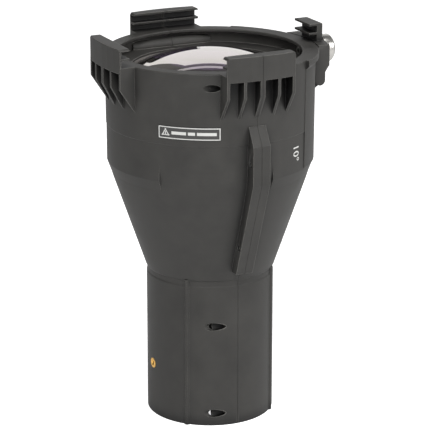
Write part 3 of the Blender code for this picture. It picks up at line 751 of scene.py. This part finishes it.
plated_pieces = {
    "thumb_screw_stud": "thumb_screw",
    "stud_clip": "thumb_screw",
    "knob_washer": "washer",
    "gate_bush": "lens_tube",
    "gate_pin_front": "lens_tube",
    "gate_pin_back": "lens_tube",
}
for node, body in plated_pieces.items():
    mesh = smooth_copy(node, FASTENER_SHARP)
    fit(f"{node}_plated", mesh, body, "plated_steel", plated, node)
for node in sorted(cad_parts):
    if node.startswith("seam_screw"):
        mesh = smooth_copy(node, FASTENER_SHARP)
        fit(f"{node}_oxide", mesh, "lens_tube", "black_steel", black_oxide, node)

# ---------------------------------------------------------------- focus insert
# A threaded insert turned from brass is pressed into the narrow tube and takes the focus knob. It
# is a bright yellow metal, a little dulled by tarnish in patches about 3 mm wide.

TARNISH_PATCH = 3 * MM

brass, tree, shader = blank("turned_brass")
place = add(tree, "ShaderNodeTexCoord")
tarnish = add(
    tree,
    "ShaderNodeTexNoise",
    {"Vector": place.outputs["Object"]},
    Scale=1 / TARNISH_PATCH,
    Detail=3.0,
)
tarnish_shine = add(
    tree, "ShaderNodeMapRange", {"Value": tarnish.outputs["Fac"]}, To_Min=0.22, To_Max=0.4
)
tree.links.new(tarnish_shine.outputs["Result"], shader.inputs["Roughness"])
shader.inputs["Base Color"].default_value = linear("#f2bf66")
shader.inputs["Metallic"].default_value = 1.0
insert_mesh = smooth_copy("focus_insert", FASTENER_SHARP)
fit("brass_insert", insert_mesh, "lens_tube", "brass", brass, "focus_insert")

# ---------------------------------------------------------------- warning label
# A polyester label stuck on the left of the bell, screen printed in white: a border, a warning
# triangle and plain bars in place of words.

LABEL_ANGLE = math.radians(-37)
LABEL_Z = 436 * MM
LABEL_W = 84 * MM
LABEL_H = 16.4 * MM
LINE = 1.3 * MM
PRINT_PROUD = 0.72 * MM
PICTOGRAM = (-32 * MM, -0.6 * MM)
TRIANGLE_SIDE = 11 * MM
MARK_STEM = (3.4 * MM, 1.3 * MM)
MARK_STEM_UP = 0.4 * MM
MARK_DOT_DOWN = 2.0 * MM
WORD_HEIGHT = 4.2 * MM
WORDS_MM = ((-23.5, 20), (-1, 9.5), (11, 26))  # where each bar starts, and its length
BAR_STEP = 2 * MM
BELL_TOP = (517 * MM, 143.8 * MM)
BELL_STEP = (418.6 * MM, 142.9 * MM)
BELL_STEP_EDGE = 0.5 * MM
BELL_LOW_R = 142.3 * MM
ADHESIVE_RIPPLE = 1.2 * MM
INK_TOOTH = 0.8 * MM

# Matt polyester film: near black and smooth, with the faint ripple of its adhesive, drawn 1.2 mm
# wide.
film, tree, shader = blank("matt_polyester_film")
place = add(tree, "ShaderNodeTexCoord")
adhesive = add(
    tree,
    "ShaderNodeTexNoise",
    {"Vector": place.outputs["Object"]},
    Scale=1 / ADHESIVE_RIPPLE,
    Detail=2.0,
)
ripple = add(
    tree, "ShaderNodeBump", {"Height": adhesive.outputs["Fac"]}, Strength=0.1, Distance=0.02 * MM
)
tree.links.new(ripple.outputs["Normal"], shader.inputs["Normal"])
shader.inputs["Base Color"].default_value = linear("#3a3a39")
shader.inputs["Roughness"].default_value = 0.42

# White screen ink: a flat opaque off-white with a slight tooth, left by the screen's mesh. The
# mesh is finer than the 0.8 mm drawn.
ink, tree, shader = blank("white_screen_ink")
place = add(tree, "ShaderNodeTexCoord")
tooth = add(
    tree,
    "ShaderNodeTexNoise",
    {"Vector": place.outputs["Object"]},
    Scale=1 / INK_TOOTH,
    Detail=2.0,
)
tooth_bump = add(
    tree, "ShaderNodeBump", {"Height": tooth.outputs["Fac"]}, Strength=0.15, Distance=0.02 * MM
)
tree.links.new(tooth_bump.outputs["Normal"], shader.inputs["Normal"])
shader.inputs["Base Color"].default_value = linear("#cfcfcc")
shader.inputs["Roughness"].default_value = 0.5


def bell_radius(z):
    """Radius of the bell's outer wall, which tapers a little from the rim to the step."""
    if z < BELL_STEP[0] - BELL_STEP_EDGE:
        return BELL_LOW_R
    share = (z - BELL_STEP[0]) / (BELL_TOP[0] - BELL_STEP[0])
    return BELL_STEP[1] + share * (BELL_TOP[1] - BELL_STEP[1])


def wrap(bm, angle, z, proud):
    """Lays a flat print on the bell: x runs round the wall and y up it, from the given centre."""
    for vertex in bm.verts:
        height = z + vertex.co.y
        radius = bell_radius(height) + proud + vertex.co.z
        turn = angle + vertex.co.x / bell_radius(z)
        vertex.co = tube_axis + Vector((radius * math.sin(turn), -radius * math.cos(turn), height))


def bar(bm, centre, size, turn=0.0):
    """A flat printed bar, cut into short lengths so that it can follow the wall."""
    lengths = max(1, round(size[0] / BAR_STEP))
    made = bmesh.ops.create_grid(bm, x_segments=lengths, y_segments=1, size=0.5)
    where = Matrix.Translation((*centre, 0)) @ Matrix.Rotation(turn, 4, "Z")
    stretch = Matrix.Diagonal((*size, 1, 1))
    bmesh.ops.transform(bm, matrix=where @ stretch, verts=made["verts"])


film_mesh = smooth_copy("warning_label", turned=True)
fit("label_film", film_mesh, "lens_tube", "label_film", film, "warning_label")

bm = bmesh.new()
for way in (-1, 1):
    bar(bm, (0, way * (LABEL_H - LINE) / 2), (LABEL_W, LINE))
    bar(bm, (way * (LABEL_W - LINE) / 2, 0), (LABEL_H - LINE, LINE), TURN / 4)
inradius = TRIANGLE_SIDE / (2 * math.sqrt(3)) - LINE / 2
for i in range(3):
    angle = TURN / 4 + i * TURN / 3
    centre = (
        PICTOGRAM[0] - inradius * math.cos(angle),
        PICTOGRAM[1] - inradius * math.sin(angle),
    )
    bar(bm, centre, (TRIANGLE_SIDE, LINE), angle + TURN / 4)
bar(bm, (PICTOGRAM[0], PICTOGRAM[1] + MARK_STEM_UP), MARK_STEM, TURN / 4)
bar(bm, (PICTOGRAM[0], PICTOGRAM[1] - MARK_DOT_DOWN), (LINE, LINE))
for start, length in WORDS_MM:
    bar(bm, ((start + length / 2) * MM, 0), (length * MM, WORD_HEIGHT))
wrap(bm, LABEL_ANGLE, LABEL_Z, PRINT_PROUD)
bmesh.ops.recalc_face_normals(bm, faces=bm.faces)
fit("label_print", mesh_from("label_print", bm), "lens_tube", "label_film", ink)

# ---------------------------------------------------------------- beam angle
# The beam angle is pad printed on the right shell in the same white ink, reading downwards.

TEXT_ANGLE = math.radians(28.4)
TEXT_Z = 393.3 * MM
TEXT_SIZE = 17.5 * MM
TEXT_BOLD = 0.12 * MM
TEXT_PROUD = 0.12 * MM

figures = bpy.data.curves.new("beam_angle", "FONT")
figures.body = "10°"
figures.size = TEXT_SIZE
figures.align_x = "CENTER"
figures.align_y = "CENTER"
figures.offset = TEXT_BOLD
figures.resolution_u = 4
text_object = bpy.data.objects.new("beam_angle_text", figures)
bpy.context.collection.objects.link(text_object)
bpy.context.view_layer.update()
text_mesh = bpy.data.meshes.new_from_object(text_object)
bpy.data.objects.remove(text_object)
bm = bmesh.new()
bm.from_mesh(text_mesh)
bmesh.ops.remove_doubles(bm, verts=bm.verts, dist=SLIVER)
downwards = Matrix.Rotation(-TURN / 4, 3, "Z")
bmesh.ops.rotate(bm, verts=bm.verts, cent=(0, 0, 0), matrix=downwards)
wrap(bm, TEXT_ANGLE, TEXT_Z, TEXT_PROUD)
fit("beam_angle_figures", mesh_from("beam_angle_figures", bm), "lens_tube", "label_film", ink)
